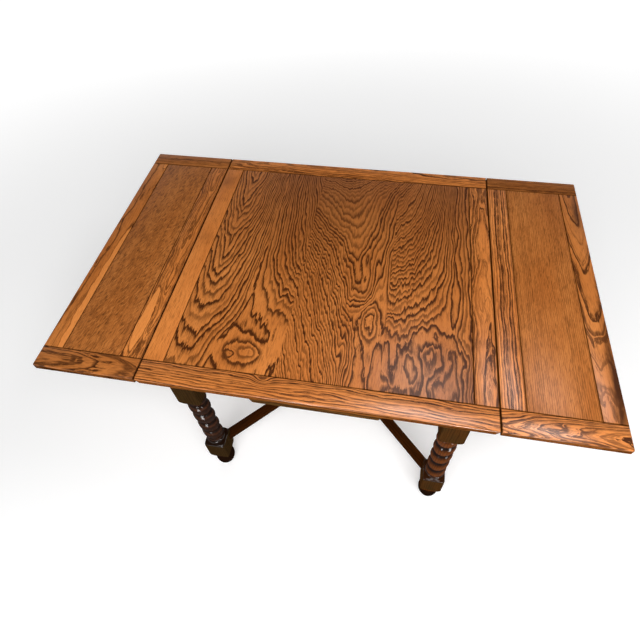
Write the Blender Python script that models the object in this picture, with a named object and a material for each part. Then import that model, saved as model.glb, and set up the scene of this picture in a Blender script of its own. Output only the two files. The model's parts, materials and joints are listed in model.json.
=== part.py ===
"""An oak extending table with two draw leaves, standing with both leaves drawn out.

Metres, +Z up. The origin is on the floor under the middle of the table. X runs along the
length, Y from the front to the back. The loose top rests on a fixed centre board. Each leaf
rides on two tapered bearers, which run up a slope through notches in the end apron, so a leaf
pushed in sinks by the thickness of the top and lies between the frame and the top.
"""

import math

import bmesh
import bpy
from mathutils import Matrix, Vector

# Top and leaves
HEIGHT = 0.762
TOP_LENGTH = 0.911
TOP_WIDTH = 0.914
TOP_THICKNESS = 0.022
RAIL_WIDTH = 0.059
TOP_STILE_WIDTH = 0.058
LEAF_LENGTH = 0.286
LEAF_THICKNESS = 0.022
LEAF_INNER_STILE_WIDTH = 0.060
LEAF_OUTER_STILE_WIDTH = 0.057
ARRIS_RADIUS = 0.003
ARRIS_STEPS = 2

# Gap between a leaf and the top, and the bevel under each end of the top that a leaf passes
JOINT_GAP = 0.003
END_LIP = 0.0045
END_UNDERCUT = 0.010

# Legs, from the floor up
LEG_SIZE = 0.070
END_OVERHANG = 0.0435
FRONT_OVERHANG = 0.045
FOOT_HEIGHT = 0.080
FOOT_RADIUS = 0.034
FOOT_BASE_RADIUS = 0.018
FOOT_NECK_RADIUS = 0.022
FOOT_NECK_HEIGHT = 0.018
SHOULDER_HEIGHT = 0.012
SHOULDER_RADIUS = 0.030
LOWER_BLOCK_HEIGHT = 0.085
COLLAR_HEIGHT = 0.016
COLLAR_BULGE = 0.005
NECK_RADIUS = 0.0265
NECK_HEIGHT = 0.004
TWIST_RADIUS = 0.032
TWIST_DEPTH = 0.009
TWIST_PITCH = 0.065
TWIST_FADE = 0.012
TOP_BLOCK_HEIGHT = 0.168
LEG_SIDES = 24
TWIST_ROWS_A_TURN = 9
FOOT_STEPS = 6
SHOULDER_STEPS = 3
COLLAR_STEPS = 4
SMOOTH_ANGLE = math.radians(40)

# Aprons, with a dropped middle between two curved ramps
APRON_THICKNESS = 0.022
APRON_SETBACK = 0.003
APRON_DEPTH = 0.076
APRON_DROP = 0.028
APRON_DROP_LENGTH = 0.346
APRON_RAMP = 0.016
RAMP_STEPS = 4

# Crossed stretchers, halved into each other
STRETCHER_WIDTH = 0.030
STRETCHER_DEPTH = 0.024
STRETCHER_RISE = 0.011

# Draw mechanism
BOARD_CLEARANCE = 0.010
PEG_RADIUS = 0.011
PEG_SPACING = 0.300
PEG_REACH = 0.014
PEG_SIDES = 16
BEARER_WIDTH = 0.024
BEARER_DEPTH = 0.040
BEARER_GRIP = 0.024
BEARER_SETBACK = 0.044
BEARER_LEG_GAP = 0.045
BEARER_SIDE_GAP = 0.006
STOP_LENGTH = 0.026
STOP_WIDTH = 0.016
STOP_DEPTH = 0.014

# Clearances: seated faces, running faces and a peg in its hole
SEAT = 0.0003
RUN = 0.0004
PEG_CLEARANCE = 0.0006
CUT_MARGIN = 0.010

# Finishes: base colour and roughness
GOLDEN_OAK = ((0.36, 0.155, 0.045), 0.38)
FIGURED_OAK = ((0.27, 0.110, 0.032), 0.36)
PLAIN_OAK = ((0.24, 0.120, 0.045), 0.50)
FRAME_OAK = ((0.10, 0.050, 0.020), 0.45)
DARK_OAK = ((0.045, 0.020, 0.010), 0.30)

# Levels and places worked out from the sizes above
TOP_UNDERSIDE = HEIGHT - TOP_THICKNESS
FRAME_TOP = TOP_UNDERSIDE - LEAF_THICKNESS - 2 * RUN
BOARD_UNDERSIDE = FRAME_TOP + SEAT
LEAF_UNDERSIDE = HEIGHT - LEAF_THICKNESS
LEAF_START = TOP_LENGTH / 2 + JOINT_GAP
LEAF_END = LEAF_START + LEAF_LENGTH
DRAW_LENGTH = LEAF_END - TOP_LENGTH / 2
DRAW_DROP = TOP_THICKNESS + RUN
SLOPE = DRAW_DROP / DRAW_LENGTH
LEG_X = TOP_LENGTH / 2 - END_OVERHANG - LEG_SIZE / 2
LEG_Y = TOP_WIDTH / 2 - FRONT_OVERHANG - LEG_SIZE / 2
LEG_INNER_X = LEG_X - LEG_SIZE / 2
LEG_INNER_Y = LEG_Y - LEG_SIZE / 2
END_APRON_X = LEG_X + LEG_SIZE / 2 - APRON_SETBACK - APRON_THICKNESS / 2
SIDE_APRON_Y = LEG_Y + LEG_SIZE / 2 - APRON_SETBACK - APRON_THICKNESS / 2
END_APRON_INSIDE = END_APRON_X - APRON_THICKNESS / 2
BOARD_HALF = TOP_LENGTH / 2 - LEAF_LENGTH - BOARD_CLEARANCE
OUTER_BEARER_Y = LEG_INNER_Y - BEARER_LEG_GAP - BEARER_WIDTH / 2
INNER_BEARER_Y = OUTER_BEARER_Y - BEARER_WIDTH - BEARER_SIDE_GAP
LOWER_BLOCK_BOTTOM = FOOT_HEIGHT + FOOT_NECK_HEIGHT + SHOULDER_HEIGHT
LOWER_BLOCK_TOP = LOWER_BLOCK_BOTTOM + LOWER_BLOCK_HEIGHT
STRETCHER_LEVEL = (LOWER_BLOCK_BOTTOM + LOWER_BLOCK_TOP) / 2 + STRETCHER_RISE

# How a flat outline (along, up, through) is turned into the part's axes
FACING_FRONT = Matrix(((1, 0, 0), (0, 0, 1), (0, 1, 0)))
FACING_END = Matrix(((0, 0, 1), (1, 0, 0), (0, 1, 0)))
LYING_FLAT = Matrix.Identity(3)

FRONT, BACK = Vector((0, -1, 0)), Vector((0, 1, 0))


# Shared building functions
def clear_scene():
    for old in list(bpy.data.objects):
        bpy.data.objects.remove(old, do_unlink=True)


def add_anchor(name, at):
    """An empty that carries the pieces of one rigid group, on the line that the group moves along."""
    anchor = bpy.data.objects.new(name, None)
    anchor.location = at
    bpy.context.scene.collection.objects.link(anchor)
    return anchor


def oak(name, colour, roughness):
    material = bpy.data.materials.new(name)
    material.use_nodes = True
    shader = material.node_tree.nodes["Principled BSDF"]
    shader.inputs["Base Color"].default_value = (*colour, 1.0)
    shader.inputs["Roughness"].default_value = roughness
    shader.inputs["Metallic"].default_value = 0.0
    return material


def add_piece(name, shape, at, anchor, finish):
    """Turns a bmesh about its own middle into a named object at a place in the part."""
    bmesh.ops.recalc_face_normals(shape, faces=shape.faces)
    mesh = bpy.data.meshes.new(name)
    shape.to_mesh(mesh)
    shape.free()
    piece = bpy.data.objects.new(name, mesh)
    bpy.context.scene.collection.objects.link(piece)
    piece.parent = anchor
    piece.location = Vector(at) - anchor.location
    mesh.materials.append(oak(name + "_oak", *finish))
    return piece


def cut_with(piece, cutter):
    """Cuts a helper's shape out of a piece and hides the helper."""
    cutter.hide_render = True
    cutter.display_type = "WIRE"
    cut = piece.modifiers.new(cutter.name, "BOOLEAN")
    cut.operation = "DIFFERENCE"
    cut.object = cutter


def join_rings(shape, rings):
    """Skins a stack of closed rings of points and caps both ends."""
    for lower, upper in zip(rings, rings[1:]):
        for i in range(len(lower)):
            j = (i + 1) % len(lower)
            shape.faces.new((lower[i], lower[j], upper[j], upper[i]))
    shape.faces.new(rings[0])
    shape.faces.new(rings[-1])


def prism(outline, depth, turn):
    """A flat outline given depth, centred on its own plane."""
    shape = bmesh.new()
    rings = []
    for side in (-depth / 2, depth / 2):
        rings.append([shape.verts.new(turn @ Vector((u, v, side))) for u, v in outline])
    join_rings(shape, rings)
    return shape


def rod(radius, length, sides):
    turns = [2 * math.pi * k / sides for k in range(sides)]
    outline = [(radius * math.cos(turn), radius * math.sin(turn)) for turn in turns]
    return prism(outline, length, LYING_FLAT)


def is_outer_arris(edge, outer_sides):
    """Whether an edge runs along an outer face or, if it stands upright, lies between two of them."""
    faces_met = 0
    for side in outer_sides:
        faces_met += all(vert.co.dot(side) > 0 for vert in edge.verts)
    along = edge.verts[1].co - edge.verts[0].co
    is_upright = abs(along.z) > along.xy.length
    return faces_met > is_upright


def board(size, outer_sides=()):
    """A board about its own middle, with the arrises of its outer sides rounded."""
    shape = bmesh.new()
    bmesh.ops.create_cube(shape, size=1.0, matrix=Matrix.Diagonal((*size, 1.0)))
    arrises = [edge for edge in shape.edges if is_outer_arris(edge, outer_sides)]
    if arrises:
        bmesh.ops.bevel(
            shape, geom=arrises, offset=ARRIS_RADIUS, segments=ARRIS_STEPS, profile=0.5, affect="EDGES"
        )
    return shape


def undercut(shape, end_x, side):
    """Bevels the underside of an end of the top, leaving a lip, so that a leaf can pass below it."""
    cut = bmesh.ops.bisect_plane(
        shape,
        geom=shape.verts[:] + shape.edges[:] + shape.faces[:],
        plane_co=(side * end_x, 0, TOP_THICKNESS / 2 - END_LIP),
        plane_no=(side * (TOP_THICKNESS - END_LIP), 0, -END_UNDERCUT),
        clear_outer=True,
    )
    rim = [part for part in cut["geom_cut"] if isinstance(part, bmesh.types.BMEdge)]
    bmesh.ops.edgeloop_fill(shape, edges=rim)
    return shape


# Legs: a bun foot, a square block with turned shoulders, a collar, a twist and a square top block
def round_row(height, radius):
    return height, lambda angle: radius


def block_row(height, turned_radius):
    """A row of a square block that the lathe has rounded to a given radius."""

    def radius(angle):
        square = LEG_SIZE / 2 / max(abs(math.cos(angle)), abs(math.sin(angle)))
        return min(square, turned_radius)

    return height, radius


def foot_rows():
    low = -math.acos(FOOT_BASE_RADIUS / FOOT_RADIUS)
    high = math.acos(FOOT_NECK_RADIUS / FOOT_RADIUS)
    reach = FOOT_HEIGHT / (math.sin(high) - math.sin(low))
    for step in range(FOOT_STEPS + 1):
        angle = low + (high - low) * step / FOOT_STEPS
        yield round_row(reach * (math.sin(angle) - math.sin(low)), FOOT_RADIUS * math.cos(angle))


def shoulder_rows(start, direction):
    """The turned quarter round where a square block starts, going up or down from its neck."""
    corner = LEG_SIZE / 2 * math.sqrt(2)
    for step in range(SHOULDER_STEPS + 1):
        angle = math.pi / 2 * step / SHOULDER_STEPS
        turned = SHOULDER_RADIUS + (corner - SHOULDER_RADIUS) * math.sin(angle)
        yield block_row(start + direction * SHOULDER_HEIGHT * (1 - math.cos(angle)), turned)


def collar_rows(start):
    for step in range(COLLAR_STEPS + 1):
        angle = math.pi * step / COLLAR_STEPS
        height = start + COLLAR_HEIGHT * (1 - math.cos(angle)) / 2
        yield round_row(height, NECK_RADIUS + COLLAR_BULGE * math.sin(angle))


def twist_row(height, start, end, hand):
    fade = min(1.0, (height - start) / TWIST_FADE, (end - height) / TWIST_FADE)

    def radius(angle):
        phase = 2 * math.pi * (height - start) / TWIST_PITCH - hand * angle
        rope = TWIST_RADIUS - TWIST_DEPTH * (1 - abs(math.sin(phase / 2)))
        return NECK_RADIUS + (rope - NECK_RADIUS) * fade

    return height, radius


def leg_rows(hand):
    """The leg's cross-sections from the floor up, as heights and radii by angle."""
    yield from foot_rows()
    block_start = FOOT_HEIGHT + FOOT_NECK_HEIGHT
    yield round_row(block_start, FOOT_NECK_RADIUS)
    yield from shoulder_rows(block_start, 1)
    shoulder_end = LOWER_BLOCK_TOP + SHOULDER_HEIGHT
    yield from reversed(list(shoulder_rows(shoulder_end, -1)))
    collar_start = shoulder_end + NECK_HEIGHT
    yield from collar_rows(collar_start)
    twist_start = collar_start + COLLAR_HEIGHT
    twist_end = FRAME_TOP - TOP_BLOCK_HEIGHT - SHOULDER_HEIGHT - NECK_HEIGHT
    rows = round((twist_end - twist_start) / TWIST_PITCH * TWIST_ROWS_A_TURN)
    for row in range(1, rows + 1):
        yield twist_row(twist_start + (twist_end - twist_start) * row / rows, twist_start, twist_end, hand)
    yield from shoulder_rows(twist_end + NECK_HEIGHT, 1)
    yield block_row(FRAME_TOP, LEG_SIZE)


def leg(hand):
    shape = bmesh.new()
    rings = []
    for height, radius in leg_rows(hand):
        turns = [2 * math.pi * k / LEG_SIDES for k in range(LEG_SIDES)]
        ring = [(radius(turn) * math.cos(turn), radius(turn) * math.sin(turn), height) for turn in turns]
        rings.append([shape.verts.new(point) for point in ring])
    join_rings(shape, rings)
    return shape


def add_legs(frame):
    for side, side_name in ((-1, "left"), (1, "right")):
        for depth, depth_name in ((-1, "front"), (1, "back")):
            at = (side * LEG_X, depth * LEG_Y, 0)
            piece = add_piece(f"leg_{depth_name}_{side_name}", leg(side), at, frame, DARK_OAK)
            piece.data.shade_smooth()
            piece.data.set_sharp_from_angle(angle=SMOOTH_ANGLE)


# Aprons
def apron_outline(length, notch_places, notch_depth):
    """An apron's face, along its length and up from its top edge."""
    lower = [(length / 2, -APRON_DEPTH)]
    for step in range(RAMP_STEPS + 1):
        share = step / RAMP_STEPS
        drop = APRON_DROP * (1 - math.cos(math.pi * share)) / 2
        lower.append((APRON_DROP_LENGTH / 2 + APRON_RAMP * (1 - share), -APRON_DEPTH - drop))
    outline = lower + [(-u, v) for u, v in reversed(lower)]
    outline.append((-length / 2, 0))
    half_notch = BEARER_WIDTH / 2 + RUN
    for place in sorted(notch_places):
        outline.append((place - half_notch, 0))
        outline.append((place - half_notch, -notch_depth))
        outline.append((place + half_notch, -notch_depth))
        outline.append((place + half_notch, 0))
    outline.append((length / 2, 0))
    return outline


def add_aprons(frame):
    long_outline = apron_outline(2 * (LEG_INNER_X - SEAT), (), 0)
    for depth, name in ((-1, "front_apron"), (1, "back_apron")):
        shape = prism(long_outline, APRON_THICKNESS, FACING_FRONT)
        add_piece(name, shape, (0, depth * SIDE_APRON_Y, FRAME_TOP), frame, FRAME_OAK)
    notch_depth = FRAME_TOP - bearer_underside(END_APRON_INSIDE) + RUN
    for side, name, place in ((-1, "left_apron", OUTER_BEARER_Y), (1, "right_apron", INNER_BEARER_Y)):
        outline = apron_outline(2 * (LEG_INNER_Y - SEAT), (-place, place), notch_depth)
        shape = prism(outline, APRON_THICKNESS, FACING_END)
        add_piece(name, shape, (side * END_APRON_X, 0, FRAME_TOP), frame, FRAME_OAK)


# Stretchers
def stretcher_outline():
    """A diagonal bar seen from above, whose ends fit round the inner corners of two leg blocks."""
    corner = Vector((LEG_INNER_X - SEAT, LEG_INNER_Y - SEAT))
    along = corner.normalized()
    across = Vector((-along.y, along.x)) * STRETCHER_WIDTH / 2
    left_end = across + along * (corner.x - across.x) / along.x
    right_end = -across + along * (corner.y + across.y) / along.y
    half = [right_end, corner, left_end]
    return half + [-point for point in half]


def add_stretchers(frame):
    outline = [tuple(point) for point in stretcher_outline()]
    mirrored = [(-u, v) for u, v in outline]
    bars = {}
    for name, bar_outline in (("lower_stretcher", outline), ("upper_stretcher", mirrored)):
        shape = prism(bar_outline, STRETCHER_DEPTH, LYING_FLAT)
        bars[name] = add_piece(name, shape, (0, 0, STRETCHER_LEVEL), frame, DARK_OAK)
    half_turn = math.atan2(LEG_INNER_Y, LEG_INNER_X)
    crossing = 2 * half_turn
    housing_length = STRETCHER_WIDTH * (1 + abs(math.cos(crossing))) / math.sin(crossing) + 2 * CUT_MARGIN
    housing = (housing_length, STRETCHER_WIDTH + 2 * SEAT, STRETCHER_DEPTH / 2 + CUT_MARGIN)
    for name, side, turn in (("lower_stretcher", 1, -half_turn), ("upper_stretcher", -1, half_turn)):
        level = STRETCHER_LEVEL + side * (housing[2] / 2 - SEAT / 2)
        cutter = add_piece(name + "_housing", board(housing), (0, 0, level), frame, PLAIN_OAK)
        cutter.rotation_euler.z = turn
        cut_with(bars[name], cutter)


# Centre board, fixed across the two long aprons
def add_centre_board(frame):
    thickness = TOP_UNDERSIDE - SEAT - BOARD_UNDERSIDE
    size = (2 * BOARD_HALF, 2 * SIDE_APRON_Y + APRON_THICKNESS, thickness)
    middle = BOARD_UNDERSIDE + thickness / 2
    piece = add_piece("centre_board", board(size), (0, 0, middle), frame, PLAIN_OAK)
    for side, name in ((-1, "front_peg_hole"), (1, "back_peg_hole")):
        hole = rod(PEG_RADIUS + PEG_CLEARANCE, thickness + 2 * CUT_MARGIN, PEG_SIDES)
        cutter = add_piece(name, hole, (0, side * PEG_SPACING / 2, middle), frame, PLAIN_OAK)
        cut_with(piece, cutter)


# The loose top: a flush panel in a frame of two through rails and two stiles, with two pegs below
def add_top(top):
    level = HEIGHT - TOP_THICKNESS / 2
    rail_size = (TOP_LENGTH, RAIL_WIDTH, TOP_THICKNESS)
    for side, name, outer in ((-1, "top_front_rail", FRONT), (1, "top_back_rail", BACK)):
        shape = board(rail_size, (outer,))
        for end in (-1, 1):
            undercut(shape, TOP_LENGTH / 2, end)
        add_piece(name, shape, (0, side * (TOP_WIDTH - RAIL_WIDTH) / 2, level), top, GOLDEN_OAK)
    inside = TOP_WIDTH - 2 * RAIL_WIDTH - 2 * SEAT
    stile_size = (TOP_STILE_WIDTH, inside, TOP_THICKNESS)
    for side, name in ((-1, "top_left_stile"), (1, "top_right_stile")):
        shape = undercut(board(stile_size), TOP_STILE_WIDTH / 2, side)
        add_piece(name, shape, (side * (TOP_LENGTH - TOP_STILE_WIDTH) / 2, 0, level), top, GOLDEN_OAK)
    panel_size = (TOP_LENGTH - 2 * TOP_STILE_WIDTH - 2 * SEAT, inside, TOP_THICKNESS)
    add_piece("top_panel", board(panel_size), (0, 0, level), top, FIGURED_OAK)
    peg_top = TOP_UNDERSIDE - SEAT
    peg_length = peg_top - BOARD_UNDERSIDE + PEG_REACH
    for side, name in ((-1, "top_peg_front"), (1, "top_peg_back")):
        at = (0, side * PEG_SPACING / 2, peg_top - peg_length / 2)
        peg = add_piece(name, rod(PEG_RADIUS, peg_length, PEG_SIDES), at, top, PLAIN_OAK)
        peg.data.shade_smooth()
        peg.data.set_sharp_from_angle(angle=SMOOTH_ANGLE)


# Leaves with their bearers
def bearer_upper_line(x):
    """The line that a bearer's tail keeps against the underside of the centre board as it slides."""
    return BOARD_UNDERSIDE - RUN + (x - BOARD_HALF) * SLOPE


def bearer_underside(x):
    return bearer_upper_line(x) - BEARER_DEPTH


def bearer_outline(side):
    """A bearer's side face: level under the leaf, then sloping down to its tail."""
    level = LEAF_UNDERSIDE - SEAT
    tail = BOARD_HALF - BEARER_GRIP
    heel = BOARD_HALF + (level - bearer_upper_line(BOARD_HALF)) / SLOPE
    nose = LEAF_END - BEARER_SETBACK
    points = (
        (tail, bearer_underside(tail)),
        (nose, bearer_underside(nose)),
        (nose, level),
        (heel, level),
        (tail, bearer_upper_line(tail)),
    )
    return [(side * x, z) for x, z in points]


def add_leaf_boards(leaf, side, name):
    level = HEIGHT - LEAF_THICKNESS / 2
    outer_end = Vector((side, 0, 0))
    middle = side * (LEAF_START + LEAF_END) / 2
    rail_size = (LEAF_LENGTH, RAIL_WIDTH, LEAF_THICKNESS)
    for depth, rail_name, outer in ((-1, "front_rail", FRONT), (1, "back_rail", BACK)):
        at = (middle, depth * (TOP_WIDTH - RAIL_WIDTH) / 2, level)
        add_piece(f"{name}_leaf_{rail_name}", board(rail_size, (outer, outer_end)), at, leaf, GOLDEN_OAK)
    inside = TOP_WIDTH - 2 * RAIL_WIDTH - 2 * SEAT
    outer_size = (LEAF_OUTER_STILE_WIDTH, inside, LEAF_THICKNESS)
    at = (side * (LEAF_END - LEAF_OUTER_STILE_WIDTH / 2), 0, level)
    add_piece(f"{name}_leaf_outer_stile", board(outer_size, (outer_end,)), at, leaf, GOLDEN_OAK)
    inner_size = (LEAF_INNER_STILE_WIDTH, inside, LEAF_THICKNESS)
    at = (side * (LEAF_START + LEAF_INNER_STILE_WIDTH / 2), 0, level)
    add_piece(f"{name}_leaf_inner_stile", board(inner_size), at, leaf, GOLDEN_OAK)
    panel_start = LEAF_START + LEAF_INNER_STILE_WIDTH + SEAT
    panel_end = LEAF_END - LEAF_OUTER_STILE_WIDTH - SEAT
    panel_size = (panel_end - panel_start, inside, LEAF_THICKNESS)
    at = (side * (panel_start + panel_end) / 2, 0, level)
    add_piece(f"{name}_leaf_panel", board(panel_size), at, leaf, FIGURED_OAK)


def add_bearers(leaf, side, name, place, stop_side):
    """Two bearers under a leaf, each with a stop block that meets the end apron from inside."""
    stop_x = END_APRON_INSIDE - SEAT - STOP_LENGTH / 2
    stop_level = (min(FRAME_TOP, bearer_upper_line(stop_x)) + bearer_underside(stop_x)) / 2
    stop_offset = stop_side * (BEARER_WIDTH / 2 + SEAT + STOP_WIDTH / 2)
    for depth, depth_name in ((-1, "front"), (1, "back")):
        shape = prism(bearer_outline(side), BEARER_WIDTH, FACING_FRONT)
        add_piece(f"{name}_bearer_{depth_name}", shape, (0, depth * place, 0), leaf, PLAIN_OAK)
        at = (side * stop_x, depth * (place + stop_offset), stop_level)
        stop = board((STOP_LENGTH, STOP_WIDTH, STOP_DEPTH))
        add_piece(f"{name}_stop_{depth_name}", stop, at, leaf, PLAIN_OAK)


def main():
    clear_scene()
    frame = add_anchor("frame", (0, 0, 0))
    top = add_anchor("top_lift", (0, 0, TOP_UNDERSIDE))
    slide_level = bearer_underside(END_APRON_INSIDE)
    left_leaf = add_anchor("left_leaf_draw", (-END_APRON_INSIDE, 0, slide_level))
    right_leaf = add_anchor("right_leaf_draw", (END_APRON_INSIDE, 0, slide_level))
    add_legs(frame)
    add_aprons(frame)
    add_stretchers(frame)
    add_centre_board(frame)
    add_top(top)
    add_leaf_boards(left_leaf, -1, "left")
    add_leaf_boards(right_leaf, 1, "right")
    add_bearers(left_leaf, -1, "left", OUTER_BEARER_Y, 1)
    add_bearers(right_leaf, 1, "right", INNER_BEARER_Y, -1)


main()
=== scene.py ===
"""Dresses the extending table in stained oak: figured boards, finely turned twist legs and a studio stage.

Metres, +Z up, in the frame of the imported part. X runs along the table, Y from front to back.
"""

import json
import math
from typing import NamedTuple

import bmesh
import bpy
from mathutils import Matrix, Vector


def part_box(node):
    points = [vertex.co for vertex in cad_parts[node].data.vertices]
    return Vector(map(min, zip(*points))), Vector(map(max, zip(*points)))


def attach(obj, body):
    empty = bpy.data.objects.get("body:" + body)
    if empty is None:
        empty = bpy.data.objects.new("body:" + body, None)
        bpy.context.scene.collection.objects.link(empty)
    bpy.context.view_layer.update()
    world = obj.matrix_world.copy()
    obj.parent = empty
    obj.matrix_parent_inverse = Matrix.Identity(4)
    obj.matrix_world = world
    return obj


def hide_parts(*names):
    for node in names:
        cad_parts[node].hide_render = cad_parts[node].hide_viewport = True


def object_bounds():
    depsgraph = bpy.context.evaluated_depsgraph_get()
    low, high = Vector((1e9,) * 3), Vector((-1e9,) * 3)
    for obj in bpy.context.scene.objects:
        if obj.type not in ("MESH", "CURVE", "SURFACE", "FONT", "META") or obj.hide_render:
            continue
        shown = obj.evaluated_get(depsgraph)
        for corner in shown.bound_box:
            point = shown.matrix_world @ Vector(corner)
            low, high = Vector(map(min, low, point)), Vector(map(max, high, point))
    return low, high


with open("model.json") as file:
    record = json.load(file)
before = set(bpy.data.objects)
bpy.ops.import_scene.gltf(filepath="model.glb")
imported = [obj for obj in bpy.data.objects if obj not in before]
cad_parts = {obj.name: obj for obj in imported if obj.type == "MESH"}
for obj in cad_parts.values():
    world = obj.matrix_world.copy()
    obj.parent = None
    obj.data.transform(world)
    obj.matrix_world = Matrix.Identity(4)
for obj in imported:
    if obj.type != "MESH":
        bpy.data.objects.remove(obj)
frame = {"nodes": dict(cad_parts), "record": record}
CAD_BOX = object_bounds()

bl_info = {
    "name": "Extending Table Finish",
    "version": (1, 0, 0),
    "blender": (4, 5, 0),
    "location": "3D View > Sidebar > Table",
    "description": "Gives the packed extending table its oak, its turned legs and its stage",
    "category": "Object",
}

BODY_OF = {node: body for body, nodes in frame["record"]["behaviour"]["bodies"].items() for node in nodes}

# How far apart two points of a copied solid may be and still be one, and how flat its faces may meet
WELD = 1e-5
FLAT_ANGLE = math.radians(1)
EASED_ANGLE = math.radians(60)
SMOOTH_ANGLE = math.radians(50)

# Which way the grain of a board runs, in degrees from X
ALONG_X, ALONG_Y = 0.0, 90.0


class Cut(NamedTuple):
    """How a board was sawn from its log.

    Lengths are in metres from the middle of its upper face: first along the grain, then across it.
    """

    turn: float = ALONG_X
    across: float = 0.0
    depth: float = 0.05
    tilt: float = 0.0
    ring: float = 0.004
    sway: float = 0.006
    tooth: float = 0.3
    fleck: float = 0.0
    contrast: float = 1.0
    tone: float = 1.0
    bold: float = 1.0
    wax: float = 1.0
    knots: tuple = ()
    stains: tuple = ()
    tongues: tuple = ()


TOP_CUTS = {
    "top_front_rail": Cut(
        ALONG_X, across=-0.050, depth=0.030, tilt=0.020, ring=0.0060, sway=0.008,
        contrast=1.35, tone=1.12, bold=0.85, wax=2.2,
        knots=(((-0.125, 0.016), (0.022, 0.014), 2.5),),
        stains=(((-0.128, 0.018), (0.012, 0.012), 0.5),),
    ),
    "top_back_rail": Cut(
        ALONG_X, across=0.030, depth=0.045, tilt=-0.030, ring=0.0064, sway=0.010,
        contrast=1.3, tone=1.1, bold=1.5,
    ),
    "top_left_stile": Cut(
        ALONG_Y, across=-0.160, depth=0.020, ring=0.0040, sway=0.002,
        contrast=0.32, tone=1.14,
        stains=(((0.333, -0.010), (0.030, 0.030), 0.45), ((0.053, -0.004), (0.022, 0.030), 0.3)),
    ),
    "top_right_stile": Cut(
        ALONG_Y, across=0.008, depth=0.024, tilt=0.030, ring=0.0060, sway=0.014,
        contrast=1.2, tone=1.05, bold=1.3,
    ),
}
LEFT_LEAF_CUTS = {
    "left_leaf_front_rail": Cut(
        ALONG_X, across=-0.004, depth=0.028, tilt=0.110, ring=0.0115, sway=0.008,
        contrast=1.3, tone=0.8, bold=1.2, wax=1.4,
    ),
    "left_leaf_back_rail": Cut(
        ALONG_X, across=0.060, depth=0.030, ring=0.0060, sway=0.004,
        contrast=1.1, tone=0.82, bold=1.2, wax=2.0,
    ),
    "left_leaf_outer_stile": Cut(
        ALONG_Y, across=0.016, depth=0.050, tilt=0.02, ring=0.012, sway=0.007,
        tone=0.92, bold=1.1,
        tongues=(((-0.23, 0.024), (0.31, 0.016)), ((0.42, 0.020), (0.05, 0.010))),
    ),
    "left_leaf_inner_stile": Cut(
        ALONG_Y, across=0.006, depth=0.030, tilt=-0.03, ring=0.0062, sway=0.014,
        contrast=1.1, tone=1.12, bold=1.2,
        tongues=(((-0.27, -0.012), (0.115, 0.014)),),
    ),
    "left_leaf_panel": Cut(
        ALONG_Y, across=0.300, depth=0.0, ring=0.0050, sway=0.004,
        fleck=1.0, contrast=0.3, tone=0.76,
    ),
}
RIGHT_LEAF_CUTS = {
    "right_leaf_front_rail": Cut(
        ALONG_X, across=-0.012, depth=0.035, tilt=-0.10, ring=0.0046, sway=0.009,
        contrast=1.6, tone=1.24, bold=1.2, wax=2.2,
    ),
    "right_leaf_back_rail": Cut(
        ALONG_X, across=0.060, depth=0.030, ring=0.0060, sway=0.004,
        contrast=1.3, tone=0.7, bold=1.2,
    ),
    "right_leaf_outer_stile": Cut(
        ALONG_Y, across=0.004, depth=0.050, tilt=-0.10, ring=0.011, sway=0.007, tooth=0.13,
        contrast=1.1, tone=0.92, bold=1.1,
        stains=(
            ((0.31, 0.012), (0.07, 0.012), 1.1),
            ((-0.27, 0.022), (0.13, 0.012), 1.5),
            ((-0.37, 0.016), (0.06, 0.012), 1.0),
        ),
    ),
    "right_leaf_inner_stile": Cut(
        ALONG_Y, across=0.150, depth=0.040, ring=0.0072, sway=0.005,
        contrast=1.6, tone=1.2, bold=1.2, wax=1.4,
    ),
    "right_leaf_panel": Cut(
        ALONG_Y, across=-0.300, depth=0.0, ring=0.0050, sway=0.004,
        fleck=0.3, contrast=0.7, tone=0.82, wax=0.55,
    ),
}
VENEER_CUT = Cut(ALONG_Y, contrast=1.25, tone=0.95, wax=0.8)
FRAME_CUTS = {
    "front_apron": Cut(ALONG_X, across=0.06, depth=0.05, tilt=0.03, ring=0.006),
    "back_apron": Cut(ALONG_X, across=-0.06, depth=0.05, tilt=-0.03, ring=0.006),
    "left_apron": Cut(ALONG_Y, across=0.06, depth=0.05, tilt=0.03, ring=0.006),
    "right_apron": Cut(ALONG_Y, across=-0.06, depth=0.05, tilt=-0.03, ring=0.006),
}
LEG_CUT = Cut(across=0.05, depth=0.04, tilt=0.03, ring=0.007)
HIDDEN_CUT = Cut(ALONG_X, across=0.04, depth=0.08, tilt=0.02, ring=0.005, contrast=0.6)
BAR_CUT = HIDDEN_CUT._replace(tone=0.6)

# The pale, warm and dark colours of each kind of piece, by their names in the finish
TOP_TONES = ("light", "warm", "line")
HIDDEN_TONES = ("bare", "warm", "frame")
FRAME_TONES = ("apron", "frame", "turned")
BAR_TONES = ("amber", "turned", "groove")

# Noise seeds: the first of each group of boards, and the step to the next board
TOP_SEED, PEG_SEED = 1.0, 21.0
LEFT_SEED, RIGHT_SEED, BEARER_SEED = 7.0, 14.0, 31.0
APRON_SEED, BAR_SEED, BOARD_SEED = 41.0, 51.0, 61.0
LEG_SEED, VENEER_SEED = 71.0, 0.9
SEED_STEP = 1.37
LEG_SIDE_STEP, LEG_DEPTH_STEP = 2.3, 1.1


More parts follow.
